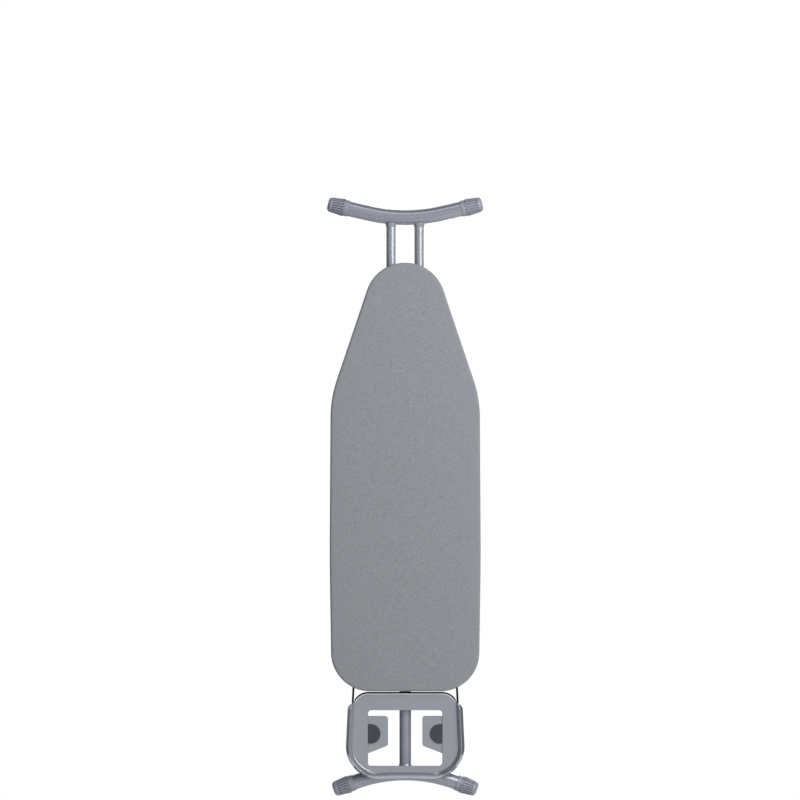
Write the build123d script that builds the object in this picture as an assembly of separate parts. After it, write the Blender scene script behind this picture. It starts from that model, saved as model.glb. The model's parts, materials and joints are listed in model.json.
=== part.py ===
from build123d import *
import os
from math import cos, radians, sin, tan

# A folding ironing board, folded flat and hanging upright by its upper foot bar.
# The origin is the middle of that bar's centreline. +X is right, +Z is up, and the ironing face looks to -Y.

# Board outline, over the cover
board_length = 1094.5
board_width = 386.0
shoulder_inset = 2.5
tail_inset = 5.0
belly_from_tail = 340.0
nose_radius = 103.0
taper_angle = 18.6
shoulder_radius = 300.0
belly_radius = 6000.0
tail_corner_radius = 100.0
nose_below_bar = 117.5

# Layers of the board, from the ironing face backwards
face_to_legs = 50.0
cover_thickness = 1.2
cover_edge_radius = 6.0
hem_edge_radius = 3.0
hem_width = 28.0
pad_thickness = 6.0
deck_thickness = 1.0
rim_depth = 12.0
rim_thickness = 1.6
rim_lip = 9.0
soft_clearance = 0.3

# Openings of the steel deck
gap_width = 37.0
gap_height = 17.0
gap_pitch_x = 46.0
gap_row_pitch = 24.0
deck_margin = 12.0

# Cross braces under the deck
brace_width = 28.0
brace_thickness = 2.0

# Scissor legs
hinge_from_tail = 61.0
slide_from_nose = 156.5
open_angle = 50.0
lowest_angle = 34.0
height_steps = 6
twin_spacing = 72.0
twin_diameter = 25.0
centre_diameter = 30.0
tube_wall = 1.5
head_overrun = 17.0
weld_gap = 0.1
weld_height = 6.0
weld_reach = 1.7

# Foot bars
foot_diameter = 38.0
foot_wall = 1.5
upper_bend_radius = 420.0
upper_arm_angle = 13.0
upper_reach = 198.0
lower_bend_radius = 370.0
lower_arm_angle = 19.0
lower_reach = 184.0

# Foot caps, pushed over the bar ends
cap_length = 55.0
cap_collar_length = 12.5
cap_collar_wall = 1.8
cap_step = 1.8
cap_taper = 4.5
cap_end_radius = 9.0
cap_grip = 18.0
cap_core_diameter = 24.0
cap_end_wall = 6.0
cap_clearance = 0.1
cap_ribs = 20
rib_groove_radius = 1.7
rib_groove_depth = 2.2
rib_groove_length = 28.0
rib_from_collar = 2.0

# Fits
running_clearance = 0.05
side_clearance = 0.4

# Hinge of the twin leg
hinge_pin_diameter = 8.0
hinge_bush_wall = 2.0
hinge_plate = 2.5
hinge_ear_radius = 11.0
hinge_head_diameter = 13.0
hinge_head_height = 2.5
hinge_pin_end = 1.0

# Tube plugs
plug_gap = 2.0
plug_cap = 3.0

# Scissor pivot
pivot_bolt_diameter = 10.0
pivot_bush_wall = 2.0
pivot_spacer_diameter = 18.0
pivot_washer_diameter = 21.0
pivot_washer_thickness = 1.8
pivot_head_diameter = 19.0
pivot_head_height = 5.0
pivot_nut_flats = 16.0
pivot_nut_height = 9.0

# Height rack and slide pin
rack_inner_width = 37.0
rack_plate = 1.5
rack_edge = 11.0
rack_end = 24.0
slide_pin_diameter = 8.0
slide_bush_wall = 2.0
slide_flange_diameter = 18.0
slide_pin_reach = 1.6
notch_depth = 7.0

# Height lever
lever_plate = 1.5
lever_axle_diameter = 5.0
lever_knuckle_wall = 1.6
lever_axle_x = 62.0
lever_axle_to_legs = 18.0
lever_overlap = 12.0
lever_arm_width = 22.0
lever_lift_gap = 0.3
lever_arm_reach = 132.0
grip_start = 124.0
grip_end = 152.0
grip_length = 96.0
grip_thickness = 13.0
grip_radius = 5.0
axle_block_width = 18.0
axle_block_length = 13.0
axle_block_cover = 5.0
spring_width = 9.0
spring_thickness = 0.8
spring_ear = 22.0
spring_from_axle = 15.0

# Rubber bumpers
bumper_diameter = 18.0
bumper_clearance = 0.3

# Iron rest
rest_gap = 4.0
rest_length = 225.5
rest_width = 294.0
rest_spread = 9.0
rest_shoulder_drop = 34.5
rest_neck_drop = 26.0
rest_neck_inset = 14.5
rest_corner_inset = 29.5
rest_top_radius = 40.0
rest_neck_radius = 4.0
rest_shoulder_radius = 16.0
rest_bottom_radius = 84.0
rest_dip = 7.0
rest_dip_radius = 1200.0
rest_bead_top = 18.0
rest_bead_bottom = 17.0
rest_bead_height = 14.0
rest_bead_slope = 7.0
rest_bead_flare = 7.0
rest_bead_wall = 1.5
rest_skirt = 4.0
rest_inner_radius = 66.0
rest_sheet = 1.5
rest_opening_width = 190.0
rest_opening_height = 142.0
rest_opening_from_top = 45.5
rest_opening_radius = 9.0
tab_reach = 51.0
tab_from_top = 60.0
tab_side = 76.0
tab_root = 97.0
tab_radius = 7.0
tab_recess = 1.5
tab_root_overlap = 3.0
heat_pad_radius = 25.0
heat_pad_offset = 6.0
heat_pad_edge = 1.0
heat_pad_from_top = 106.0
heat_pad_thickness = 3.0
trim_height = 3.8
trim_wall = 1.4

# Wire that carries the iron rest
wire_diameter = 5.5
wire_start_inset = 18.5
wire_end_inset = 5.0
wire_above_tail = 92.0
wire_from_bottom = 27.0
wire_corner_radius = 40.0
wire_lane_clearance = 1.0
wire_lane_length = 50.0
clip_width = 32.0
clip_length = 22.0
clip_cover = 4.0
clip_side = 4.0
screw_diameter = 4.0
screw_head_diameter = 8.0
screw_head_height = 2.4
screw_inset = 8.0

# Levels along Y, with the legs' centre plane at zero
face_y = -face_to_legs
pad_front = face_y + cover_thickness
deck_front = pad_front + pad_thickness
deck_back = deck_front + deck_thickness
rim_back = deck_back + rim_depth
hem_back = rim_back + cover_thickness
brace_back = deck_back + brace_thickness
lever_axle_y = -lever_axle_to_legs
wire_y = hem_back + soft_clearance + wire_diameter / 2
rest_back = wire_y - wire_diameter / 2
rest_front = rest_back - rest_sheet

# Places along Z
nose_z = -nose_below_bar
tail_z = nose_z - board_length
hinge_z = tail_z + hinge_from_tail
slide_z = nose_z - slide_from_nose
pivot_z = (hinge_z + slide_z) / 2
head_to_pivot = pivot_z - hinge_z
lower_foot_z = 2 * pivot_z
rest_top_z = tail_z - rest_gap
rest_bottom_z = rest_top_z - rest_length


def slide_height(angle):
    """Place of the slide pin along the rack when the twin leg stands at this angle to the board."""
    return hinge_z + 2 * head_to_pivot * cos(radians(angle))


rack_nose_z = slide_z + rack_end
rack_tail_z = slide_height(open_angle) - rack_end
nose_brace_z = rack_nose_z - brace_width / 2
lever_nose_z = slide_height(lowest_angle) + lever_overlap
lever_tail_z = slide_height(open_angle) - lever_overlap
lever_middle_z = (lever_nose_z + lever_tail_z) / 2

# Half widths along X
twin_x = twin_spacing / 2
rack_wall_x = rack_inner_width / 2
rack_side_x = rack_wall_x + rack_plate
twin_outer_x = twin_x + twin_diameter / 2
twin_inner_x = twin_x - twin_diameter / 2
rest_x = rest_width / 2
wire_start_x = rest_x - wire_start_inset
wire_end_x = rest_x - wire_end_inset


def front_plane(y):
    """Drawing plane at depth y whose local axes are X and Z and whose normal looks to the ironing side."""
    return Plane(origin=(0, y, 0), x_dir=(1, 0, 0), z_dir=(0, -1, 0))


def slab(sketch, back, front):
    """Plate of this outline between two depths."""
    return extrude(front_plane(back) * sketch, back - front)


def rod(start, end, diameter):
    """Round bar between two points."""
    path = Line(start, end)
    return sweep(Plane(origin=start, z_dir=path % 0) * Circle(diameter / 2), path)


def tube(start, end, diameter, wall):
    """Round tube between two points, open at both ends."""
    return rod(start, end, diameter) - rod(start, end, diameter - 2 * wall)


def ring_x(x_from, x_to, outer, inner, y, z):
    """Round ring on an axis along X."""
    return tube((x_from, y, z), (x_to, y, z), outer, (outer - inner) / 2)


def cross_hole(x, z, diameter, span):
    """Round bar along X in the legs' plane, reaching this far to each side of x."""
    return rod((x - span, 0, z), (x + span, 0, z), diameter)


def board_sketch(inset=0.0):
    """Outline of the board, moved inwards by the inset."""
    slope = radians(taper_angle)
    nose_centre = nose_z - nose_radius
    apex = (0, nose_centre + nose_radius / sin(slope))
    belly_x = board_width / 2
    shoulder_x = belly_x - shoulder_inset
    shoulder_z = nose_centre + (nose_radius - cos(slope) * shoulder_x) / sin(slope)
    belly_z = tail_z + belly_from_tail
    right = [
        (shoulder_x, shoulder_z),
        (belly_x, belly_z),
        (belly_x - tail_inset, tail_z),
    ]
    radii = [shoulder_radius, belly_radius, tail_corner_radius]
    left = [(-x, z) for x, z in reversed(right)]
    corners = [apex] + right + left
    outline = FilletPolyline(*corners, radius=[nose_radius] + radii + radii[::-1], close=True)
    sketch = make_face(outline.edges())
    if inset:
        sketch = offset(sketch, amount=-inset)
    return sketch


rim_inset = cover_thickness + soft_clearance
rim_inner_inset = rim_inset + rim_lip


def rounded_board(inset, back, front, back_radius, front_radius):
    """Board shaped slab with its two edges rounded."""
    body = slab(board_sketch(inset), back, front)
    faces = body.faces().sort_by(Axis.Y)
    if front_radius:
        body = fillet(faces[0].edges(), front_radius)
    if back_radius:
        body = fillet(body.faces().sort_by(Axis.Y)[-1].edges(), back_radius)
    return body


def make_cover():
    outer = rounded_board(0, hem_back, face_y, hem_edge_radius, cover_edge_radius)
    hollow = rounded_board(
        cover_thickness,
        rim_back,
        pad_front,
        hem_edge_radius - cover_thickness,
        cover_edge_radius - cover_thickness,
    )
    window = slab(board_sketch(hem_width), hem_back, rim_back)
    return outer - hollow - window


def make_pad():
    front_radius = cover_edge_radius - rim_inset
    return rounded_board(rim_inset, deck_front, pad_front, 0, front_radius)


def gap_centres():
    """Middles of the deck's openings, in staggered rows about the middle line."""
    rows = int(board_length / gap_row_pitch)
    columns = int(board_width / gap_pitch_x) + 1
    for row in range(rows):
        z = nose_z - (row + 0.5) * gap_row_pitch
        shift = gap_pitch_x / 2 * (row % 2)
        for column in range(-columns, columns + 1):
            yield column * gap_pitch_x + shift, z


def make_deck():
    sheet = board_sketch(rim_inset)
    inside = board_sketch(rim_inset + deck_margin).faces()[0]
    half_w = gap_width / 2
    half_h = gap_height / 2
    gaps = []
    for x, z in gap_centres():
        points = [(x + half_w, z), (x, z + half_h), (x - half_w, z), (x, z - half_h)]
        if all(inside.is_inside((px, pz, 0)) for px, pz in points):
            gaps.append(make_face(Polyline(*points, close=True)))
    print("deck openings", len(gaps))
    return slab(sheet - gaps, deck_back, deck_front)


def make_rim():
    back_radius = hem_edge_radius - rim_inset
    hoop = rounded_board(rim_inset, rim_back, deck_back, back_radius, 0)
    hoop -= slab(board_sketch(rim_inset + rim_thickness), rim_back, deck_back)
    lip = board_sketch(rim_inset) - board_sketch(rim_inner_inset)
    return hoop + slab(lip, deck_back + rim_thickness, deck_back)


def make_brace(z):
    band = Pos(0, z) * Rectangle(2 * board_width, brace_width)
    inner = board_sketch(rim_inner_inset + soft_clearance)
    return slab(inner & band, brace_back, deck_back)


def slot_cutter(z_from, z_to, y_from, y_to, width):
    """Cutter through both rack walls with round ends, running along Z or along Y."""
    reach = rack_side_x + rack_plate
    ends = [
        rod((-reach, y_from, z_from), (reach, y_from, z_from), width),
        rod((-reach, y_to, z_to), (reach, y_to, z_to), width),
    ]
    middle = Vector(0, (y_from + y_to) / 2, (z_from + z_to) / 2)
    tall = abs(z_from - z_to) if z_from != z_to else width
    deep = abs(y_from - y_to) if y_from != y_to else width
    return Pos(middle) * Box(2 * reach, deep, tall) + ends


def notch_angles():
    step = (open_angle - lowest_angle) / (height_steps - 1)
    return [lowest_angle + step * index for index in range(height_steps)]


slide_bush_diameter = slide_pin_diameter + 2 * slide_bush_wall
slot_width = slide_bush_diameter + 2 * side_clearance


def make_rack():
    height = rack_nose_z - rack_tail_z
    middle = (rack_nose_z + rack_tail_z) / 2
    depth = rack_edge - brace_back
    outer = Pos(0, (rack_edge + brace_back) / 2, middle) * Box(2 * rack_side_x, depth, height)
    inner_depth = depth - rack_plate
    inner_y = (rack_edge + brace_back + rack_plate) / 2
    inner = Pos(0, inner_y, middle) * Box(rack_inner_width, inner_depth, height)
    rack = outer - inner
    rack -= slot_cutter(slide_z, slide_height(open_angle), 0, 0, slot_width)
    for angle in notch_angles():
        z = slide_height(angle)
        rack -= slot_cutter(z, z, 0, -notch_depth, slot_width)
    return rack


hinge_bush_diameter = hinge_pin_diameter + 2 * hinge_bush_wall
ear_inner = twin_diameter / 2 + side_clearance + hinge_bush_wall / 2
ear_outer = ear_inner + hinge_plate


def make_hinge_bracket(side):
    x = side * twin_x
    depth = -brace_back
    ears = []
    for ear in (-1, 1):
        middle = x + ear * (ear_inner + ear_outer) / 2
        plate = Pos(middle, brace_back / 2, hinge_z) * Box(hinge_plate, depth, 2 * hinge_ear_radius)
        half = hinge_plate / 2
        end = rod((middle - half, 0, hinge_z), (middle + half, 0, hinge_z), 2 * hinge_ear_radius)
        ears.append(plate + end)
    web_y = brace_back + hinge_plate / 2
    web = Pos(x, web_y, hinge_z) * Box(2 * ear_outer, hinge_plate, 2 * hinge_ear_radius)
    bracket = web + ears
    reach = ear_outer + hinge_plate
    return bracket - cross_hole(x, hinge_z, hinge_pin_diameter + running_clearance, reach)


def make_hinge_pin(side):
    inner = side * (twin_x - ear_outer - hinge_pin_end)
    seat = side * (twin_x + ear_outer)
    outer = side * (twin_x + ear_outer + hinge_head_height)
    shank = rod((inner, 0, hinge_z), (seat, 0, hinge_z), hinge_pin_diameter)
    head = rod((seat, 0, hinge_z), (outer, 0, hinge_z), hinge_head_diameter)
    head_edges = head.edges().filter_by(GeomType.CIRCLE).sort_by(Axis.X)
    head = fillet(head_edges[-1 if side > 0 else 0], hinge_head_height / 2)
    return shank + head


def make_hinge_bush(side):
    half = ear_inner - side_clearance / 2
    x = side * twin_x
    bore = hinge_pin_diameter + 2 * running_clearance
    return ring_x(x - half, x + half, hinge_bush_diameter, bore, 0, hinge_z)


def foot_path(bend_radius, arm_angle, reach, middle_z, up):
    """Centreline of an arched foot bar, its ends turned up or down, to the given reach each way."""
    slope = radians(arm_angle)
    bend_x = bend_radius * sin(slope)
    bend_z = bend_radius * (1 - cos(slope))
    end_z = bend_z + (reach - bend_x) * tan(slope)
    left_end = (-reach, 0, middle_z + up * end_z)
    left_bend = (-bend_x, 0, middle_z + up * bend_z)
    right_bend = (bend_x, 0, middle_z + up * bend_z)
    right_end = (reach, 0, middle_z + up * end_z)
    bend = ThreePointArc(left_bend, (0, 0, middle_z), right_bend)
    return Curve() + [Line(left_end, left_bend), bend, Line(right_bend, right_end)]


def sweep_foot(path, diameter):
    start = path.edges().sort_by(Axis.X)[0]
    ends = sorted([start @ 0, start @ 1], key=lambda point: point.X)
    direction = ends[1] - ends[0]
    return sweep(Plane(origin=ends[0], z_dir=direction) * Circle(diameter / 2), Wire(path.edges()))


def foot_route(upper, reach_cut=0.0):
    """Centreline of the upper or the lower bar, shortened at each end along X."""
    if upper:
        return foot_path(upper_bend_radius, upper_arm_angle, upper_reach - reach_cut, 0.0, 1)
    return foot_path(lower_bend_radius, lower_arm_angle, lower_reach - reach_cut, lower_foot_z, -1)


def arm_angle(upper):
    return upper_arm_angle if upper else lower_arm_angle


def make_foot_bar(upper):
    route = foot_route(upper, (cap_length - cap_grip) * cos(radians(arm_angle(upper))))
    return sweep_foot(route, foot_diameter) - sweep_foot(route, foot_diameter - 2 * foot_wall)


def make_foot_cap(upper, side):
    """Ribbed cap, drawn along its axis and then set on the end of the bar."""
    collar_radius = foot_diameter / 2 + cap_collar_wall
    rib_radius = collar_radius + cap_step
    end_radius = rib_radius - cap_taper
    with BuildPart() as cap:
        with BuildSketch(Plane.XZ):
            Polygon(
                (0, 0),
                (collar_radius, 0),
                (collar_radius, cap_collar_length),
                (rib_radius, cap_collar_length),
                (end_radius, cap_length),
                (0, cap_length),
                align=None,
            )
        revolve(axis=Axis.Z)
        fillet(cap.faces().sort_by(Axis.Z)[-1].edges(), cap_end_radius)
        bores = {
            foot_diameter / 2 + cap_clearance: cap_grip + cap_clearance,
            cap_core_diameter / 2: cap_length - cap_end_wall,
        }
        for radius, depth in bores.items():
            Cylinder(radius, depth, align=(Align.CENTER, Align.CENTER, Align.MIN), mode=Mode.SUBTRACT)
    grooves = []
    groove_start = cap_collar_length + rib_from_collar
    groove_end = groove_start + rib_groove_length
    narrowing = cap_taper / (cap_length - cap_collar_length)
    start = rib_radius + rib_groove_radius - rib_groove_depth - narrowing * rib_from_collar
    end = start - narrowing * rib_groove_length
    for index in range(cap_ribs):
        groove = rod((start, 0, groove_start), (end, 0, groove_end), 2 * rib_groove_radius)
        grooves.append(Rot(0, 0, 360 / cap_ribs * index) * groove)
    solid = cap.part - grooves
    route = foot_route(upper)
    ends = route.vertices().sort_by(Axis.X)
    tip = Vector(*ends[-1 if side > 0 else 0])
    slope = radians(arm_angle(upper))
    rise = sin(slope) if upper else -sin(slope)
    outwards = Vector(side * cos(slope), 0, rise)
    base = tip - outwards * cap_length
    return Plane(origin=base, x_dir=(0, 1, 0), z_dir=outwards) * solid


def foot_keepout(upper):
    """The foot bar as a full bar with its weld gap, to shape the tubes that meet it."""
    return sweep_foot(foot_route(upper), foot_diameter + 2 * weld_gap)


hinge_hole = hinge_bush_diameter + 2 * running_clearance
bolt_hole = pivot_bolt_diameter + 2 * running_clearance
pivot_bush_diameter = pivot_bolt_diameter + 2 * pivot_bush_wall


def make_twin_tube(side):
    x = side * twin_x
    leg = tube((x, 0, 0), (x, 0, hinge_z - head_overrun), twin_diameter, tube_wall)
    leg -= foot_keepout(True)
    leg = leg.solids().sort_by(Axis.Z)[0]
    leg -= cross_hole(x, hinge_z, hinge_hole, twin_diameter)
    return leg - cross_hole(x, pivot_z, bolt_hole, twin_diameter)


def make_centre_tube():
    leg = tube((0, 0, slide_z + head_overrun), (0, 0, lower_foot_z), centre_diameter, tube_wall)
    leg -= foot_keepout(False)
    leg = leg.solids().sort_by(Axis.Z)[-1]
    leg -= cross_hole(0, slide_z, slide_pin_diameter + 2 * running_clearance, centre_diameter)
    return leg - cross_hole(0, pivot_z, pivot_bush_diameter + 2 * running_clearance, centre_diameter)


def make_weld(x, middle_z, diameter, upper):
    """Fillet of weld around a tube where it meets the foot bar."""
    away = -1 if upper else 1
    outer = diameter / 2 + weld_gap
    bar = foot_diameter / 2
    root = middle_z + away * (bar - weld_height)
    thin = middle_z + away * (bar + weld_height)
    reach = weld_reach * 2
    with BuildPart() as cone:
        with BuildSketch(Plane.XZ):
            with Locations((x, 0)):
                Polygon(
                    (outer, root),
                    (outer + reach, root),
                    (outer + reach / 2, (root + thin) / 2),
                    (outer, thin),
                    align=None,
                )
        revolve(axis=Axis((x, 0, 0), (0, 0, 1)))
    within_bar = Pos(x, 0, middle_z) * Box(foot_diameter, foot_diameter, 2 * foot_diameter)
    weld = (cone.part & within_bar) - foot_keepout(upper)
    return weld.solids().sort_by(Axis.Z)[0 if upper else -1]


plug_depth = head_overrun - hinge_bush_diameter / 2 - plug_gap


def make_plug(x, end_z, diameter, down):
    """Plastic plug with a rim that closes the open head of a tube."""
    away = -1 if down else 1
    inner = diameter - 2 * tube_wall - 2 * running_clearance
    stem = rod((x, 0, end_z - away * plug_depth), (x, 0, end_z), inner)
    cap = rod((x, 0, end_z), (x, 0, end_z + away * plug_cap), diameter)
    edges = cap.edges().filter_by(GeomType.CIRCLE).sort_by(Axis.Z)
    cap = fillet(edges[0 if down else -1], plug_cap / 2)
    return stem + cap


bolt_seat_x = twin_outer_x + pivot_washer_thickness + side_clearance


def make_pivot_bolt():
    shank = rod((-bolt_seat_x, 0, pivot_z), (bolt_seat_x + pivot_nut_height, 0, pivot_z), pivot_bolt_diameter)
    head_end = -bolt_seat_x - pivot_head_height
    head = rod((head_end, 0, pivot_z), (-bolt_seat_x, 0, pivot_z), pivot_head_diameter)
    rim = head.edges().filter_by(GeomType.CIRCLE).sort_by(Axis.X)[0]
    return shank + fillet(rim, pivot_head_height / 2)


def make_pivot_nut():
    plane = Plane(origin=(bolt_seat_x, 0, pivot_z), x_dir=(0, 1, 0), z_dir=(1, 0, 0))
    blank = RegularPolygon(pivot_nut_flats / 2, 6, major_radius=False) - Circle(bolt_hole / 2)
    return extrude(plane * blank, pivot_nut_height)


def make_pivot_washers():
    inner = twin_outer_x + side_clearance / 2
    outer = inner + pivot_washer_thickness
    right = ring_x(inner, outer, pivot_washer_diameter, bolt_hole, 0, pivot_z)
    left = ring_x(-outer, -inner, pivot_washer_diameter, bolt_hole, 0, pivot_z)
    return Compound(children=[left, right])


def make_pivot_spacers():
    start = centre_diameter / 2 + side_clearance
    end = twin_inner_x - side_clearance / 2
    right = ring_x(start, end, pivot_spacer_diameter, bolt_hole, 0, pivot_z)
    left = ring_x(-end, -start, pivot_spacer_diameter, bolt_hole, 0, pivot_z)
    return Compound(children=[left, right])


def make_pivot_bush():
    half = centre_diameter / 2 + side_clearance / 2
    return ring_x(-half, half, pivot_bush_diameter, bolt_hole, 0, pivot_z)


def make_slide_pin():
    reach = rack_side_x + slide_pin_reach
    return cross_hole(0, slide_z, slide_pin_diameter, reach)


def make_slide_bush(side):
    """Flanged nylon bush that runs in the rack's slot."""
    bore = slide_pin_diameter + 2 * running_clearance
    flange_start = side * (centre_diameter / 2 + running_clearance)
    flange_end = side * (rack_wall_x - side_clearance / 2)
    sleeve_end = side * rack_side_x
    flange = ring_x(flange_start, flange_end, slide_flange_diameter, bore, 0, slide_z)
    return flange + ring_x(flange_start, sleeve_end, slide_bush_diameter, bore, 0, slide_z)


knuckle_diameter = lever_axle_diameter + 2 * running_clearance + 2 * lever_knuckle_wall
lever_flange_y = lever_axle_y - knuckle_diameter / 2
lifter_x = rack_side_x + side_clearance
lifter_edge_y = -notch_depth - slide_pin_diameter / 2 - lever_lift_gap
spring_ear_x = lever_axle_x + spring_from_axle
spring_ear_z = lever_nose_z - spring_ear / 2


def make_lever():
    """Angle plate that lifts the slide pin out of its notch, hinged on its axle, with the arm to the grip."""
    length = lever_nose_z - lever_tail_z
    flange_width = lever_axle_x - lifter_x
    flange_x = (lever_axle_x + lifter_x) / 2
    flange_mid_y = lever_flange_y + lever_plate / 2
    flange = Pos(flange_x, flange_mid_y, lever_middle_z) * Box(flange_width, lever_plate, length)
    leg_depth = lifter_edge_y - lever_flange_y
    leg_y = (lifter_edge_y + lever_flange_y) / 2
    leg = Pos(lifter_x + lever_plate / 2, leg_y, lever_middle_z) * Box(lever_plate, leg_depth, length)
    arm_x = (lever_axle_x + lever_arm_reach) / 2
    arm_length = lever_arm_reach - lever_axle_x
    arm = Pos(arm_x, flange_mid_y, lever_middle_z) * Box(arm_length, lever_plate, lever_arm_width)
    ear_length = spring_from_axle + spring_width
    ear_x = lever_axle_x + ear_length / 2
    ear = Pos(ear_x, flange_mid_y, spring_ear_z) * Box(ear_length, lever_plate, spring_ear)
    axis_from = (lever_axle_x, lever_axle_y, lever_nose_z)
    axis_to = (lever_axle_x, lever_axle_y, lever_tail_z)
    knuckle = rod(axis_from, axis_to, knuckle_diameter)
    lever = flange + leg + arm + ear + knuckle
    return lever - rod(axis_from, axis_to, lever_axle_diameter + 2 * running_clearance)


def make_grip():
    """Plastic grip moulded on the end of the lever's arm."""
    x = (grip_start + grip_end) / 2
    y = lever_flange_y + grip_thickness / 2 - lever_plate
    grip = Pos(x, y, lever_middle_z) * Box(grip_end - grip_start, grip_thickness, grip_length)
    grip = fillet(grip.edges(), grip_radius)
    socket_start = grip_start - grip_radius
    socket_end = lever_arm_reach + running_clearance
    socket_y = lever_flange_y + lever_plate / 2
    socket = Pos((socket_start + socket_end) / 2, socket_y, lever_middle_z) * Box(
        socket_end - socket_start,
        lever_plate + 2 * running_clearance,
        lever_arm_width + 2 * running_clearance,
    )
    return grip - socket


def axle_block_z(upper):
    half = axle_block_length / 2 + side_clearance
    return lever_nose_z + half if upper else lever_tail_z - half


def make_lever_axle():
    half = axle_block_length / 2
    start = (lever_axle_x, lever_axle_y, axle_block_z(True) + half)
    end = (lever_axle_x, lever_axle_y, axle_block_z(False) - half)
    return rod(start, end, lever_axle_diameter)


def make_axle_block(upper):
    z = axle_block_z(upper)
    top = lever_axle_y + lever_axle_diameter / 2 + axle_block_cover
    depth = top - brace_back
    block = Pos(lever_axle_x, brace_back + depth / 2, z) * Box(axle_block_width, depth, axle_block_length)
    block = fillet(block.edges().filter_by(Axis.Z).group_by(Axis.Y)[-1], axle_block_cover)
    span = axle_block_length
    start = (lever_axle_x, lever_axle_y, z - span)
    end = (lever_axle_x, lever_axle_y, z + span)
    return block - rod(start, end, lever_axle_diameter + 2 * running_clearance)


def make_lever_spring():
    """Bent leaf spring from the upper brace to the lever's ear."""
    foot_y = brace_back + spring_thickness / 2
    tip_y = lever_flange_y - spring_thickness / 2 - running_clearance
    start_z = axle_block_z(True) + brace_width / 2
    bend_z = axle_block_z(True) - brace_width / 2
    points = [(spring_ear_x, foot_y, start_z), (spring_ear_x, foot_y, bend_z)]
    points += [(spring_ear_x, tip_y, spring_ear_z), (spring_ear_x, tip_y, spring_ear_z - spring_ear / 2)]
    bend = 2 * spring_thickness
    path = FilletPolyline(*points, radius=[bend * 2, bend * 2])
    start_plane = Plane(origin=points[0], x_dir=(1, 0, 0), z_dir=(0, 0, -1))
    return sweep(start_plane * Rectangle(spring_width, spring_thickness), path)


def make_bumpers():
    front = -twin_diameter / 2 - bumper_clearance
    z = nose_brace_z
    pads = []
    for side in (-1, 1):
        x = side * twin_x
        pads.append(rod((x, brace_back, z), (x, front, z), bumper_diameter))
    return Compound(children=pads)


def rest_loop(right, radii):
    """Closed outline from its right-hand corners, the left ones mirrored, with a dip in its bottom edge."""
    dip = (0, right[-1][1] + rest_dip)
    corners = right + [dip] + [(-x, z) for x, z in reversed(right)]
    loop_radii = radii + [rest_dip_radius] + radii[::-1]
    return make_face(FilletPolyline(*corners, radius=loop_radii, close=True).edges())


def rest_outline(inset=0.0):
    """Outline of the iron rest, which steps out to its shoulders below slanted top corners, moved inwards."""
    right = [
        (rest_x - rest_corner_inset, rest_top_z),
        (rest_x - rest_neck_inset, rest_top_z - rest_neck_drop),
        (rest_x, rest_top_z - rest_shoulder_drop),
        (rest_x + rest_spread, rest_bottom_z),
    ]
    sketch = rest_loop(right, [rest_top_radius, rest_neck_radius, rest_shoulder_radius, rest_bottom_radius])
    if inset:
        sketch = offset(sketch, amount=-inset)
    return sketch


def rest_inside(extra=0.0):
    """Outline of the flat plate inside the bead, run past the top edge so that the bead stays open there."""
    top_x = rest_x - rest_bead_top + extra
    bottom_x = rest_x + rest_spread - rest_bead_bottom + extra
    right = [(top_x, rest_top_z), (bottom_x, rest_bottom_z + rest_bead_bottom - extra)]
    plate = rest_loop(right, [0, rest_inner_radius])
    head_height = rest_top_radius
    head = Pos(0, rest_top_z + head_height / 2) * Rectangle(2 * top_x, head_height)
    return plate + head


def tab_sketch(side):
    """One tab of the tray, reaching into the opening."""
    root = rest_opening_width / 2
    tip = root - tab_reach
    top = rest_top_z - tab_from_top
    points = [
        (root + tab_root_overlap, top),
        (tip, top),
        (tip, top - tab_side),
        (root + tab_root_overlap, top - tab_root),
    ]
    points = [(side * x, z) for x, z in points]
    outline = FilletPolyline(*points, radius=[0, tab_radius, tab_radius, 0], close=True)
    return make_face(outline.edges())


bead_front = rest_front - rest_bead_height


def bead_flare(extra=0.0):
    """Space in front of the plate, wider towards the front, so that the bead slopes down to the plate."""
    low = front_plane(rest_front) * rest_inside(extra)
    high = front_plane(bead_front) * rest_inside(extra + rest_bead_flare)
    return loft([low.faces()[0], high.faces()[0]], ruled=True)


def bead_block(inset=0.0):
    """Space that the bead fills in front of the plate, its outer side sloping in towards the front."""
    low = front_plane(rest_front) * rest_outline(inset)
    high = front_plane(bead_front) * rest_outline(inset + rest_bead_slope)
    return loft([low.faces()[0], high.faces()[0]], ruled=True)


def wire_x(z):
    """Place across the board of the wire's right side at this height."""
    start_z = tail_z + wire_above_tail
    end_z = rest_bottom_z + wire_from_bottom
    return wire_start_x + (wire_end_x - wire_start_x) * (start_z - z) / (start_z - end_z)


def wire_lane(side):
    """Lane for the wire through the tray's turned-back edge at a top corner."""
    top = rest_top_z + rest_top_radius
    bottom = rest_top_z - wire_lane_length
    reach = wire_diameter / 2 + wire_lane_clearance
    points = [
        (wire_x(top) - reach, top),
        (wire_x(top) + reach, top),
        (wire_x(bottom) + reach, bottom),
        (wire_x(bottom) - reach, bottom),
    ]
    return make_face(Polyline(*[(side * x, z) for x, z in points], close=True))


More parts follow.
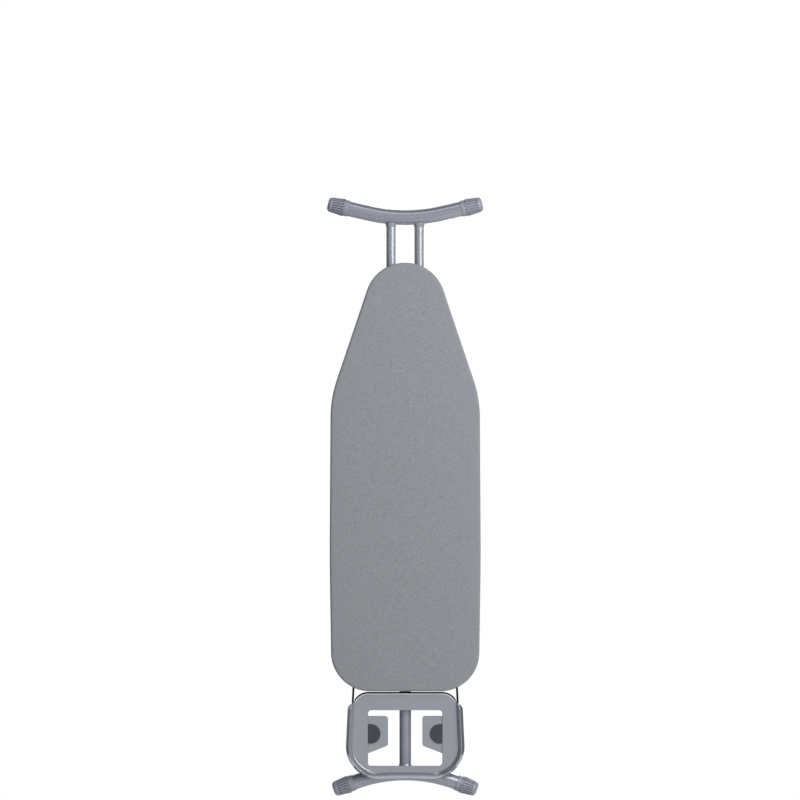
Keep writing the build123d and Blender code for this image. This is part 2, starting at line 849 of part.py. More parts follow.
def make_tray():
    skirt_back = rest_back + rest_skirt
    tray = slab(rest_outline(), skirt_back, rest_front) + bead_block() - bead_flare()
    crest = slab(rest_outline(), bead_front + rest_bead_wall, bead_front)
    tray -= bead_block(rest_bead_wall) - bead_flare(rest_bead_wall) - crest
    tray -= slab(rest_outline(rest_bead_wall) - rest_inside(rest_bead_wall), skirt_back, rest_front)
    tray -= slab(rest_inside(rest_bead_wall), skirt_back, rest_back)
    for side in (-1, 1):
        tray -= slab(wire_lane(side), skirt_back, rest_back)
    opening_z = rest_top_z - rest_opening_from_top - rest_opening_height / 2
    opening = RectangleRounded(rest_opening_width, rest_opening_height, rest_opening_radius)
    tray -= slab(Pos(0, opening_z) * opening, rest_back, rest_front)
    for side in (-1, 1):
        tray += slab(tab_sketch(side), rest_back + tab_recess, rest_front + tab_recess)
    return tray


def make_heat_pad(side):
    """Half-round pad with its straight side along the opening's edge."""
    root = rest_opening_width / 2 - heat_pad_edge
    centre = (side * (root - heat_pad_offset), rest_top_z - heat_pad_from_top)
    disc = Pos(*centre) * Circle(heat_pad_radius)
    keep_x = side * (root - heat_pad_radius)
    keep = Pos(keep_x, centre[1]) * Rectangle(2 * heat_pad_radius, 3 * heat_pad_radius)
    seat = rest_front + tab_recess
    return slab(disc & keep, seat, seat - heat_pad_thickness)


def make_trim():
    """Soft strip folded over the tray's top edge, round its corners as far as the wire."""
    half = wire_x(rest_top_z) - wire_diameter / 2 - wire_lane_clearance
    span = Pos(0, rest_top_z) * Rectangle(2 * half, 2 * rest_top_radius)
    band = rest_outline(-trim_wall) - rest_outline(trim_height - trim_wall)
    strip = slab(band & span, rest_back + trim_wall, rest_front - trim_wall)
    return strip - slab(rest_outline(), rest_back, rest_front)


def make_wire(extra=0.0):
    start_z = tail_z + wire_above_tail
    end_z = rest_bottom_z + wire_from_bottom
    points = [
        (wire_start_x, wire_y, start_z),
        (wire_end_x, wire_y, end_z),
        (-wire_end_x, wire_y, end_z),
        (-wire_start_x, wire_y, start_z),
    ]
    path = FilletPolyline(*points, radius=[wire_corner_radius, wire_corner_radius])
    section = Plane(origin=points[0], z_dir=path % 0) * Circle(wire_diameter / 2 + extra)
    return sweep(section, path)


clip_outer_x = wire_start_x + wire_diameter / 2 + clip_side
clip_middle_x = clip_outer_x - clip_width / 2
screw_x = clip_outer_x - clip_width + screw_inset
clip_back = wire_y + wire_diameter / 2 + clip_cover


def make_wire_clip(side):
    depth = clip_back - brace_back
    clip = Pos(side * clip_middle_x, brace_back + depth / 2, hinge_z) * Box(clip_width, depth, clip_length)
    clip = fillet(clip.edges().filter_by(Axis.Y), clip_cover)
    clip -= make_wire(running_clearance)
    x = side * screw_x
    hole = screw_diameter + 2 * running_clearance
    return clip - rod((x, brace_back, hinge_z), (x, clip_back, hinge_z), hole)


def make_clip_screws():
    screws = []
    for side in (-1, 1):
        x = side * screw_x
        shank = rod((x, brace_back, hinge_z), (x, clip_back, hinge_z), screw_diameter)
        head = rod((x, clip_back, hinge_z), (x, clip_back + screw_head_height, hinge_z), screw_head_diameter)
        rim = head.edges().filter_by(GeomType.CIRCLE).sort_by(Axis.Y)[-1]
        screws.append(shank + fillet(rim, screw_head_height / 2))
    return Compound(children=screws)


def save(name, shape):
    export_step(shape, "parts/" + name + ".step")


os.makedirs("parts", exist_ok=True)

save("cover", make_cover())
save("foam_pad", make_pad())
save("deck_sheet", make_deck())
save("deck_rim", make_rim())
brace_places = {
    "brace_nose": nose_brace_z,
    "brace_upper": axle_block_z(True),
    "brace_lower": axle_block_z(False),
    "brace_tail": hinge_z,
}
for name, z in brace_places.items():
    save(name, make_brace(z))
save("height_rack", make_rack())
save("lever_axle", make_lever_axle())
save("axle_block_upper", make_axle_block(True))
save("axle_block_lower", make_axle_block(False))
save("lever_spring", make_lever_spring())
save("height_lever", make_lever())
save("lever_grip", make_grip())
save("leg_bumpers", make_bumpers())
save("rest_tray", make_tray())
save("rest_trim", make_trim())
save("rest_wire", make_wire())
save("clip_screws", make_clip_screws())
save("upper_foot_bar", make_foot_bar(True))
save("lower_foot_bar", make_foot_bar(False))
save("centre_tube", make_centre_tube())
save("centre_weld", make_weld(0, lower_foot_z, centre_diameter, False))
save("centre_plug", make_plug(0, slide_z + head_overrun, centre_diameter, False))
save("pivot_bolt", make_pivot_bolt())
save("pivot_nut", make_pivot_nut())
save("pivot_washers", make_pivot_washers())
save("pivot_spacers", make_pivot_spacers())
save("pivot_bush", make_pivot_bush())
save("slide_pin", make_slide_pin())
for word, side in (("left", -1), ("right", 1)):
    save("hinge_bracket_" + word, make_hinge_bracket(side))
    save("hinge_pin_" + word, make_hinge_pin(side))
    save("hinge_bush_" + word, make_hinge_bush(side))
    save("twin_tube_" + word, make_twin_tube(side))
    save("twin_weld_" + word, make_weld(side * twin_x, 0.0, twin_diameter, True))
    save("twin_plug_" + word, make_plug(side * twin_x, hinge_z - head_overrun, twin_diameter, True))
    save("slide_bush_" + word, make_slide_bush(side))
    save("upper_cap_" + word, make_foot_cap(True, side))
    save("lower_cap_" + word, make_foot_cap(False, side))
    save("heat_pad_" + word, make_heat_pad(side))
    save("wire_clip_" + word, make_wire_clip(side))
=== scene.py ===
import json
import math
import random

import bmesh
import bpy
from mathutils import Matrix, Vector


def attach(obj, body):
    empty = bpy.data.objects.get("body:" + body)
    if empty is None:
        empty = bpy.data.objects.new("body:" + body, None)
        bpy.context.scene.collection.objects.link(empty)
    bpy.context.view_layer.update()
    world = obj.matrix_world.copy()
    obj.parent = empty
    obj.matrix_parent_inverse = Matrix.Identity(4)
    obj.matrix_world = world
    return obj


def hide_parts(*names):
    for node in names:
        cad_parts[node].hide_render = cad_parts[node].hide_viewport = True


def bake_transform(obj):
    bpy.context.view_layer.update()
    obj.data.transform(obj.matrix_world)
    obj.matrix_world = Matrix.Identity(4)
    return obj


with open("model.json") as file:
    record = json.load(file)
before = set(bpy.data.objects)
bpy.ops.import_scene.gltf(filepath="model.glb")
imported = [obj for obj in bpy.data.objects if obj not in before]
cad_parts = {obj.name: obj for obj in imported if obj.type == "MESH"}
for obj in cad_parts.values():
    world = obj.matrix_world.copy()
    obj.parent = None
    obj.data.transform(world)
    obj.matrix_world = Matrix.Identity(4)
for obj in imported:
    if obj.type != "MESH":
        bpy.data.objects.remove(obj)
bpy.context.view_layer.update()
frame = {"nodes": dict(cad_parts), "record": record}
scene = bpy.context.scene
nodes = frame["nodes"]
print("frame loaded:", len(nodes), "nodes")

mm = 0.001


# Colours are written as screen values from 0 to 255.
def screenColor(red, green, blue):
    def linear(value):
        share = value / 255
        if share <= 0.04045:
            return share / 12.92
        return ((share + 0.055) / 1.055) ** 2.4

    return (linear(red), linear(green), linear(blue), 1.0)


def shade(color, factor):
    return (color[0] * factor, color[1] * factor, color[2] * factor, 1.0)


def addNode(tree, kind, settings=None, values=None):
    node = tree.nodes.new(kind)
    for name, value in (settings or {}).items():
        setattr(node, name, value)
    for name, value in (values or {}).items():
        node.inputs[name].default_value = value
    return node


def newMaterial(name):
    material = bpy.data.materials.new(name)
    material.use_nodes = True
    tree = material.node_tree
    return material, tree, tree.nodes["Principled BSDF"]


def objectSpace(tree, scale):
    coords = addNode(tree, "ShaderNodeTexCoord")
    mapping = addNode(tree, "ShaderNodeMapping", values={"Scale": scale})
    tree.links.new(coords.outputs["Object"], mapping.inputs["Vector"])
    return mapping.outputs["Vector"]


def noise(tree, scale, detail=3.0, roughness=0.55):
    values = {"Scale": 1.0, "Detail": detail, "Roughness": roughness}
    texture = addNode(tree, "ShaderNodeTexNoise", values=values)
    tree.links.new(objectSpace(tree, scale), texture.inputs["Vector"])
    return texture.outputs["Fac"]


def evenNoise(tree, scale, detail=3.0):
    return noise(tree, (scale, scale, scale), detail)


def combine(tree, operation, first, second):
    node = addNode(tree, "ShaderNodeMath", settings={"operation": operation})
    tree.links.new(first, node.inputs[0])
    tree.links.new(second, node.inputs[1])
    return node.outputs["Value"]


# Noise mostly lies between these two values.
noiseLow = 0.3
noiseHigh = 0.7


def spread(tree, source, low, high, fromLow=noiseLow, fromHigh=noiseHigh):
    values = {"From Min": fromLow, "From Max": fromHigh, "To Min": low, "To Max": high}
    node = addNode(tree, "ShaderNodeMapRange", values=values)
    tree.links.new(source, node.inputs["Value"])
    return node.outputs["Result"]


def ramp(tree, source, stops):
    node = addNode(tree, "ShaderNodeValToRGB")
    while len(node.color_ramp.elements) < len(stops):
        node.color_ramp.elements.new(0.5)
    for element, (place, color) in zip(node.color_ramp.elements, stops):
        element.position = place
        element.color = color
    tree.links.new(source, node.inputs["Fac"])
    return node.outputs["Color"]


def addBump(tree, shader, height, strength, distance):
    node = addNode(tree, "ShaderNodeBump", values={"Strength": strength, "Distance": distance})
    tree.links.new(height, node.inputs["Height"])
    tree.links.new(node.outputs["Normal"], shader.inputs["Normal"])
    return node


# What all hard surfaces share; scales are in cycles per metre.
surfaceSettings = {
    "driftScale": 14.0,
    "patchScale": 60.0,
    "patchSpread": 0.1,
    "grainStrength": 0.35,
    "edgeSamples": 6,
    "grooveSamples": 8,
    # Tones of the painted shade in grooves and of the painted light on open surfaces, and where each starts.
    "grooveShadeTone": 0.35,
    "ridgeLightTone": 1.1,
    "grooveOpenness": 0.45,
    "ridgeOpenness": 0.95,
}


# Painted shade: darkens a colour in grooves up to the given depth, and lightens it a little on what stands
# out as painted light.
def paintGrooveShade(tree, tones, depth):
    shared = surfaceSettings
    samples = {"samples": shared["grooveSamples"]}
    hollow = addNode(tree, "ShaderNodeAmbientOcclusion", settings=samples, values={"Distance": depth})
    level = spread(
        tree,
        hollow.outputs["AO"],
        shared["grooveShadeTone"],
        shared["ridgeLightTone"],
        shared["grooveOpenness"],
        shared["ridgeOpenness"],
    )
    darker = addNode(tree, "ShaderNodeVectorMath", settings={"operation": "SCALE"})
    tree.links.new(tones, darker.inputs["Vector"])
    tree.links.new(level, darker.inputs["Scale"])
    return darker.outputs["Vector"]


# Paint, plating and moulded plastic: a slow drift of colour, a patchy gloss, a fine grain, softened edges,
# and painted shade in grooves where asked.
def surfaceMaterial(
    name, color, rough, metal, drift, grain, grainDepth, edge=0.8 * mm, gleam=0.5, grooves=0.0
):
    shared = surfaceSettings
    base = screenColor(*color)
    material, tree, shader = newMaterial(name)
    slow = evenNoise(tree, shared["driftScale"])
    stops = [(noiseLow, shade(base, 1 - drift)), (noiseHigh, shade(base, 1 + drift))]
    tones = ramp(tree, slow, stops)
    # Painted shade in the grooves.
    if grooves:
        tones = paintGrooveShade(tree, tones, grooves)
    tree.links.new(tones, shader.inputs["Base Color"])
    patches = evenNoise(tree, shared["patchScale"], detail=5.0)
    smoothest = rough * (1 - shared["patchSpread"])
    roughest = rough * (1 + shared["patchSpread"])
    tree.links.new(spread(tree, patches, smoothest, roughest), shader.inputs["Roughness"])
    fine = evenNoise(tree, grain, detail=2.0)
    bump = addBump(tree, shader, fine, shared["grainStrength"], grainDepth)
    if edge:
        samples = {"samples": shared["edgeSamples"]}
        bevel = addNode(tree, "ShaderNodeBevel", settings=samples, values={"Radius": edge})
        tree.links.new(bevel.outputs["Normal"], bump.inputs["Normal"])
    shader.inputs["Metallic"].default_value = metal
    shader.inputs["Specular IOR Level"].default_value = gleam
    return material


clothSettings = {
    "color": (145, 148, 153),
    "threadPitch": 1.1 * mm,
    "contrast": 0.17,
    "alongThread": 140.0,
    "intoCloth": 700.0,
    "acrossThread": 900.0,
    "darkAt": 0.36,
    "plainAt": 0.5,
    "lightAt": 0.64,
    "waveScale": 0.314,
    "waveWander": 0.6,
    "bumpStrength": 0.5,
    "bumpDepth": 0.25 * mm,
    "rough": 0.92,
    "gleam": 0.2,
    "sheen": 0.08,
    "sheenRough": 0.5,
}


# Woven cloth whose threads vary from light to dark along their length.
def clothMaterial(name, settings):
    material, tree, shader = newMaterial(name)
    base = screenColor(*settings["color"])
    long = settings["alongThread"]
    deep = settings["intoCloth"]
    thin = settings["acrossThread"]
    across = noise(tree, (long, deep, thin), detail=2.0)
    along = noise(tree, (thin, deep, long), detail=2.0)
    weave = combine(tree, "ADD", across, along)
    half = addNode(tree, "ShaderNodeMath", settings={"operation": "MULTIPLY"}, values={1: 0.5})
    tree.links.new(weave, half.inputs[0])
    stops = [
        (settings["darkAt"], shade(base, 1 - settings["contrast"])),
        (settings["plainAt"], base),
        (settings["lightAt"], shade(base, 1 + settings["contrast"])),
    ]
    tree.links.new(ramp(tree, half.outputs["Value"], stops), shader.inputs["Base Color"])
    threads = 1 / settings["threadPitch"]
    waves = []
    for direction in ("X", "Z"):
        wave = addNode(
            tree,
            "ShaderNodeTexWave",
            settings={"wave_type": "BANDS", "bands_direction": direction},
            values={"Scale": settings["waveScale"], "Distortion": settings["waveWander"], "Detail": 1.0},
        )
        tree.links.new(objectSpace(tree, (threads, threads, threads)), wave.inputs["Vector"])
        waves.append(wave.outputs["Fac"])
    lattice = combine(tree, "MULTIPLY", waves[0], waves[1])
    addBump(tree, shader, lattice, settings["bumpStrength"], settings["bumpDepth"])
    shader.inputs["Roughness"].default_value = settings["rough"]
    shader.inputs["Specular IOR Level"].default_value = settings["gleam"]
    shader.inputs["Sheen Weight"].default_value = settings["sheen"]
    shader.inputs["Sheen Roughness"].default_value = settings["sheenRough"]
    return material


foamSettings = {
    "color": (196, 192, 182),
    "cells": 700.0,
    "poreShadeTone": 0.72,
    "wallTone": 1.06,
    "wallAt": 0.6,
    "bumpStrength": 0.6,
    "bumpDepth": 0.6 * mm,
    "rough": 0.95,
    "gleam": 0.15,
}


# Open-cell foam, with painted shade in its pores: darker towards the middle of each cell, lighter on the
# walls.
def foamMaterial(name, settings):
    material, tree, shader = newMaterial(name)
    base = screenColor(*settings["color"])
    scale = settings["cells"]
    cells = addNode(tree, "ShaderNodeTexVoronoi", values={"Scale": 1.0})
    tree.links.new(objectSpace(tree, (scale, scale, scale)), cells.inputs["Vector"])
    distance = cells.outputs["Distance"]
    # Painted shade: darker in the pits, lighter on the cell walls.
    stops = [
        (0.0, shade(base, settings["poreShadeTone"])),
        (settings["wallAt"], shade(base, settings["wallTone"])),
    ]
    tree.links.new(ramp(tree, distance, stops), shader.inputs["Base Color"])
    addBump(tree, shader, distance, settings["bumpStrength"], settings["bumpDepth"])
    shader.inputs["Roughness"].default_value = settings["rough"]
    shader.inputs["Specular IOR Level"].default_value = settings["gleam"]
    return material


# Looks of the hard pieces, by material slot.
finishSettings = {
    "painted_steel": {
        "name": "satinPaint",
        "color": (156, 159, 171),
        "rough": 0.22,
        "metal": 0.4,
        "drift": 0.01,
        "grain": 1500.0,
        "grainDepth": 0.002 * mm,
    },
    "gloss_steel": {
        "name": "glossPaint",
        "color": (160, 164, 173),
        "rough": 0.12,
        "metal": 0.22,
        "drift": 0.01,
        "grain": 1500.0,
        "grainDepth": 0.001 * mm,
        "edge": 0.0,
    },
    "deck_steel": {
        "name": "deckPaint",
        "color": (168, 170, 174),
        "rough": 0.45,
        "metal": 0.15,
        "drift": 0.04,
        "grain": 700.0,
        "grainDepth": 0.1 * mm,
    },
    "plated_steel": {
        "name": "zincPlate",
        "color": (190, 191, 194),
        "rough": 0.3,
        "metal": 0.95,
        "drift": 0.05,
        "grain": 400.0,
        "grainDepth": 0.05 * mm,
    },
    "black_wire": {
        "name": "blackPaint",
        "color": (20, 21, 23),
        "rough": 0.3,
        "metal": 0.0,
        "drift": 0.08,
        "grain": 500.0,
        "grainDepth": 0.02 * mm,
        "gleam": 0.3,
    },
    "grey_plastic": {
        "name": "capPlastic",
        "color": (140, 144, 156),
        "rough": 0.34,
        "metal": 0.0,
        "drift": 0.02,
        "grain": 1600.0,
        "grainDepth": 0.05 * mm,
        "edge": 0.5 * mm,
        # Painted shade in the cap's grooves, up to this depth.
        "grooves": 3 * mm,
    },
    "dark_plastic": {
        "name": "darkPlastic",
        "color": (52, 53, 57),
        "rough": 0.48,
        "metal": 0.0,
        "drift": 0.06,
        "grain": 1600.0,
        "grainDepth": 0.15 * mm,
    },
    "nylon": {
        "name": "nylon",
        "color": (222, 219, 209),
        "rough": 0.4,
        "metal": 0.0,
        "drift": 0.02,
        "grain": 900.0,
        "grainDepth": 0.08 * mm,
    },
    "pad_rubber": {
        "name": "padRubber",
        "color": (60, 64, 74),
        "rough": 0.7,
        "metal": 0.0,
        "drift": 0.05,
        "grain": 1400.0,
        "grainDepth": 0.2 * mm,
    },
    "bumper_rubber": {
        "name": "bumperRubber",
        "color": (20, 20, 22),
        "rough": 0.7,
        "metal": 0.0,
        "drift": 0.08,
        "grain": 1400.0,
        "grainDepth": 0.1 * mm,
        "gleam": 0.15,
    },
}

# Nodes whose look differs from the rest of their slot.
ownFinishSettings = {
    "rest_tray": {
        "name": "trayPaint",
        "color": (182, 186, 195),
        "rough": 0.12,
        "metal": 0.68,
        "drift": 0.01,
        "grain": 1500.0,
        "grainDepth": 0.001 * mm,
        "edge": 3.5 * mm,
    },
    # The strip on the tray's top edge is near-black as a painted shadow, standing for the shade where the
    # edge turns back.
    "rest_trim": {
        "name": "trimPaintedShade",
        "color": (10, 10, 11),
        "rough": 0.6,
        "metal": 0.0,
        "drift": 0.08,
        "grain": 1400.0,
        "grainDepth": 0.1 * mm,
        "gleam": 0.1,
    },
}

finishes = {slot: surfaceMaterial(**settings) for slot, settings in finishSettings.items()}
finishes["cover_cloth"] = clothMaterial("coverCloth", clothSettings)
finishes["pad_foam"] = foamMaterial("padFoam", foamSettings)
ownFinishes = {node: surfaceMaterial(**settings) for node, settings in ownFinishSettings.items()}

for entry in frame["record"]["subparts"]:
    mesh = nodes[entry["node"]].data
    mesh.materials.clear()
    mesh.materials.append(ownFinishes.get(entry["node"], finishes[entry["material_slot"]]))


def meshObject(name, points, faces, material):
    mesh = bpy.data.meshes.new(name)
    mesh.from_pydata(points, [], faces)
    mesh.validate()
    mesh.update()
    mesh.polygons.foreach_set("use_smooth", [True] * len(mesh.polygons))
    mesh.materials.append(material)
    thing = bpy.data.objects.new(name, mesh)
    scene.collection.objects.link(thing)
    return thing


def lineObject(name, points, edges):
    mesh = bpy.data.meshes.new(name)
    mesh.from_pydata(points, edges, [])
    thing = bpy.data.objects.new(name, mesh)
    scene.collection.objects.link(thing)
    return thing


def mergeClose(thing, distance):
    work = bmesh.new()
    work.from_mesh(thing.data)
    bmesh.ops.remove_doubles(work, verts=work.verts, dist=distance)
    bmesh.ops.recalc_face_normals(work, faces=work.faces)
    work.to_mesh(thing.data)
    work.free()


# Outline of the board in its own plane, walked from the nose round by the right side.
boardShape = {
    "length": 1094.5 * mm,
    "width": 386 * mm,
    "shoulderInset": 2.5 * mm,
    "tailInset": 5 * mm,
    "bellyFromTail": 340 * mm,
    "noseRadius": 103 * mm,
    "taper": math.radians(18.6),
    "shoulderRadius": 300 * mm,
    "bellyRadius": 6000 * mm,
    "tailRadius": 100 * mm,
    "noseTop": -117.5 * mm,
    "arcSpacing": 4 * mm,
    "steps": 760,
}


def roundedCorners(corners, radii, spacing):
    points = []
    count = len(corners)
    for index in range(count):
        before = Vector(corners[index - 1])
        here = Vector(corners[index])
        after = Vector(corners[(index + 1) % count])
        inward = (before - here).normalized()
        outward = (after - here).normalized()
        opening = inward.angle(outward)
        cut = radii[index] / math.tan(opening / 2)
        first = here + inward * cut
        middle = here + (inward + outward).normalized() * (radii[index] / math.sin(opening / 2))
        start = first - middle
        sweep = math.pi - opening
        turn = -1 if inward.x * outward.y - inward.y * outward.x > 0 else 1
        pieces = max(2, int(sweep * radii[index] / spacing))
        for step in range(pieces + 1):
            angle = turn * sweep * step / pieces
            x = start.x * math.cos(angle) - start.y * math.sin(angle)
            y = start.x * math.sin(angle) + start.y * math.cos(angle)
            points.append(middle + Vector((x, y)))
    return points


def evenly(points, count):
    closed = points + [points[0]]
    lengths = [0.0]
    for a, b in zip(closed, closed[1:]):
        lengths.append(lengths[-1] + (b - a).length)
    total = lengths[-1]
    result = []
    seat = 0
    for index in range(count):
        target = total * index / count
        while lengths[seat + 1] < target:
            seat += 1
        span = lengths[seat + 1] - lengths[seat]
        share = (target - lengths[seat]) / span if span else 0.0
        result.append(closed[seat].lerp(closed[seat + 1], share))
    return result, total


def boardOutline(shape):
    slope = shape["taper"]
    noseCentre = shape["noseTop"] - shape["noseRadius"]
    tail = shape["noseTop"] - shape["length"]
    bellyX = shape["width"] / 2
    shoulderX = bellyX - shape["shoulderInset"]
    apex = (0.0, noseCentre + shape["noseRadius"] / math.sin(slope))
    shoulderZ = noseCentre + (shape["noseRadius"] - math.cos(slope) * shoulderX) / math.sin(slope)
    right = [
        (shoulderX, shoulderZ),
        (bellyX, tail + shape["bellyFromTail"]),
        (bellyX - shape["tailInset"], tail),
    ]
    left = [(-x, z) for x, z in reversed(right)]
    sideRadii = [shape["shoulderRadius"], shape["bellyRadius"], shape["tailRadius"]]
    radii = [shape["noseRadius"]] + sideRadii + sideRadii[::-1]
    rounded = roundedCorners([apex] + right + left, radii, shape["arcSpacing"])
    points, total = evenly(rounded, shape["steps"])
    normals = []
    turns = []
    for index in range(len(points)):
        ahead = points[(index + 1) % len(points)]
        back = points[index - 1]
        along = (ahead - back).normalized()
        normals.append(Vector((-along.y, along.x)))
        bend = (ahead - points[index]).angle(points[index] - back, 0.0)
        turns.append(bend / (total / len(points)))
    area = 0.0
    for a, b in zip(points, points[1:] + points[:1]):
        area += (b.x * a.y - a.x * b.y) / 2
    return points, normals, turns, total, area


outline, outlineNormals, outlineTurns, outlineLength, outlineArea = boardOutline(boardShape)
print("outline:", len(outline), "points,", round(outlineLength, 3), "m round,", round(outlineArea, 4), "m2")

spineTop = boardShape["noseTop"] - boardShape["noseRadius"]
spineBottom = boardShape["noseTop"] - boardShape["length"] + boardShape["tailRadius"]


def insetOutline(distance):
    return [point - normal * distance for point, normal in zip(outline, outlineNormals)]


# One ring of points, drawn from the given ring towards the board's middle line.
def drawnIn(ring, share, depth):
    points = []
    for point in ring:
        foot = Vector((0.0, min(max(point.y, spineBottom), spineTop)))
        moved = foot + (point - foot) * share
        points.append((moved.x, depth, moved.y))
    return points


def quarterTurn(steps):
    return [math.pi / 2 * step / steps for step in range(steps + 1)]


# Faces between rings that all have the same count of points.
def ringsToFaces(count, rings):
    faces = []
    for ring in range(rings - 1):
        for step in range(count):
            following = (step + 1) % count
            faces.append(
                [
                    ring * count + step,
                    ring * count + following,
                    (ring + 1) * count + following,
                    (ring + 1) * count + step,
                ]
            )
    return faces


def smoothed(values, reach):
    count = len(values)
    result = []
    for index in range(count):
        total = 0.0
        for shift in range(-reach, reach + 1):
            total += values[(index + shift) % count]
        result.append(total / (2 * reach + 1))
    return result


coverSettings = {
    "face": -50.0 * mm,
    "back": -28.7 * mm,
    "frontRadius": 6.0 * mm,
    "frontSteps": 7,
    "backRadius": 3.0 * mm,
    "backSteps": 4,
    "edgeWrap": 21.9 * mm,
    "hem": 28.0 * mm,
    "casing": 9.0 * mm,
    "casingThickness": 1.6 * mm,
    "seamDip": 0.3 * mm,
    "crown": 0.6 * mm,
    "faceRings": 20,
    "gatherDepth": 2.4 * mm,
    "gatherShift": 1.2 * mm,
    "gatherSink": 0.55,
    "gatherPitch": 17 * mm,
    "waveCount": 5,
    "longestWave": 0.55,
    "waveStep": 0.22,
    "straightShare": 0.18,
    "fullGatherRadius": 110 * mm,
    "curveBlur": 14,
    "mergeDistance": 0.02 * mm,
    "seed": 11,
}


# How far the gathers push the hem in, stronger where the edge curves.
def gatherWaves(settings):
    rng = random.Random(settings["seed"])
    count = len(outline)
    bends = [min(1.0, turn * settings["fullGatherRadius"]) for turn in outlineTurns]
    curved = smoothed(bends, settings["curveBlur"])
    waves = []
    for octave in range(settings["waveCount"]):
        share = settings["longestWave"] + settings["waveStep"] * octave
        turnsRound = round(outlineLength / settings["gatherPitch"] * share)
        waves.append((turnsRound, rng.uniform(0, 2 * math.pi), rng.uniform(0.5, 1.0)))
    straight = settings["straightShare"]
    heights = []
    for index in range(count):
        angle = 2 * math.pi * index / count
        total = sum(size * math.sin(angle * turnsRound + phase) for turnsRound, phase, size in waves)
        total /= sum(size for turnsRound, phase, size in waves)
        heights.append(total * (straight + (1 - straight) * curved[index]))
    return heights


# Rows across the cover from the hem to the face: inset, depth and how strongly the gathers show.
def coverRows(settings):
    face = settings["face"]
    back = settings["back"]
    hem = settings["hem"]
    casing = settings["casing"]
    thick = settings["casingThickness"]
    dip = settings["seamDip"]
    rows = [
        (hem - casing, back - thick, 0.55),  # turned-in layer
        (hem - casing * 0.4, back - thick, 0.85),
        (hem - thick * 0.3, back - thick * 0.95, 1.0),  # folded edge
        (hem, back - thick * 0.5, 1.0),
        (hem - thick * 0.3, back - thick * 0.06, 1.0),
        (hem - casing * 0.25, back + dip / 3, 0.95),  # layer that shows
        (hem - casing * 0.6, back, 0.85),
        (hem - casing * 0.9, back - dip * 5 / 6, 0.7),
    ]
    seamRow = len(rows)
    rows.append((hem - casing * 1.05, back - dip, 0.6))
    rows.append((hem - casing * 1.3, back, 0.5))
    for share in (0.55, 0.4, 0.28, 0.18):
        rows.append((hem * share, back, share * 0.8))
    radius = settings["backRadius"]
    for angle in quarterTurn(settings["backSteps"]):
        rows.append((radius * (1 - math.sin(angle)), back - radius * (1 - math.cos(angle)), 0.0))
    sideBottom = back - radius
    radius = settings["frontRadius"]
    sideTop = face + radius
    for share in (0.25, 0.5, 0.75):
        rows.append((0.0, sideBottom + (sideTop - sideBottom) * share, 0.0))
    for angle in quarterTurn(settings["frontSteps"]):
        rows.append((radius * (1 - math.cos(angle)), face + radius * (1 - math.sin(angle)), 0.0))
    return rows, seamRow


def makeCover(settings):
    gathers = gatherWaves(settings)
    rows, seamRow = coverRows(settings)
    points = []
    for inset, depth, gatherShare in rows:
        for point, normal, gather in zip(outline, outlineNormals, gathers):
            push = gather * gatherShare
            moved = point - normal * (inset + push * settings["gatherShift"])
            drop = settings["gatherDepth"] * (push - gatherShare * settings["gatherSink"])
            points.append((moved.x, depth + min(drop, 0.0), moved.y))
    rim = insetOutline(settings["frontRadius"])
    rings = settings["faceRings"]
    for ring in range(1, rings + 1):
        share = 1 - ring / rings
        swell = settings["crown"] * (1 - share**4)
        points += drawnIn(rim, share, settings["face"] - swell)
    faces = ringsToFaces(len(outline), len(rows) + rings)
    seam = points[seamRow * len(outline) : (seamRow + 1) * len(outline)]
    thing = meshObject("cover_cloth", points, faces, finishes["cover_cloth"])
    mergeClose(thing, settings["mergeDistance"])
    return thing, seam


cover, seamPoints = makeCover(coverSettings)
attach(cover, "board")
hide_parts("cover")
print("cover made:", len(cover.data.polygons), "faces")


# Runs a Geometry Nodes tree on an object and leaves a plain mesh.
def applyTree(thing, tree, values):
    modifier = thing.modifiers.new(tree.name, "NODES")
    modifier.node_group = tree
    for identifier, value in values.items():
        modifier[identifier] = value
    grown = thing.evaluated_get(bpy.context.evaluated_depsgraph_get())
    mesh = bpy.data.meshes.new_from_object(grown)
    thing.modifiers.remove(modifier)
    thing.data = mesh
    mesh.name = thing.name


# Starts a tree that turns a line of edges into a curve, with the named sizes as its inputs.
def lineTree(name, sizes):
    tree = bpy.data.node_groups.new(name, "GeometryNodeTree")

    def addInput(label, kind):
        return tree.interface.new_socket(name=label, in_out="INPUT", socket_type=kind).identifier

    addInput("Line", "NodeSocketGeometry")
    sockets = {size.lower(): addInput(size, "NodeSocketFloat") for size in sizes}
    sockets["material"] = addInput("Material", "NodeSocketMaterial")
    tree.interface.new_socket(name="Shape", in_out="OUTPUT", socket_type="NodeSocketGeometry")
    given = addNode(tree, "NodeGroupInput").outputs
    curve = addNode(tree, "GeometryNodeMeshToCurve")
    tree.links.new(given["Line"], curve.inputs["Mesh"])
    return tree, sockets, given, curve.outputs["Curve"]


# Ends a tree with real geometry in the given material.
def finishTree(tree, given, shape):
    real = addNode(tree, "GeometryNodeRealizeInstances")
    tree.links.new(shape, real.inputs["Geometry"])
    paint = addNode(tree, "GeometryNodeSetMaterial")
    tree.links.new(real.outputs["Geometry"], paint.inputs["Geometry"])
    tree.links.new(given["Material"], paint.inputs["Material"])
    tree.links.new(paint.outputs["Geometry"], addNode(tree, "NodeGroupOutput").inputs["Shape"])


def growAlong(name, points, edges, treeParts, settings, material):
    tree, sockets = treeParts
    thing = lineObject(name, points, edges)
    values = {socket: settings[size] for size, socket in sockets.items() if size != "material"}
    values[sockets["material"]] = material
    applyTree(thing, tree, values)
    return thing


stitchSettings = {
    "pitch": 4.4 * mm,
    "length": 3.2 * mm,
    "thread": 0.9 * mm,
    "lift": 0.35 * mm,
    "subdivisions": 2,
}


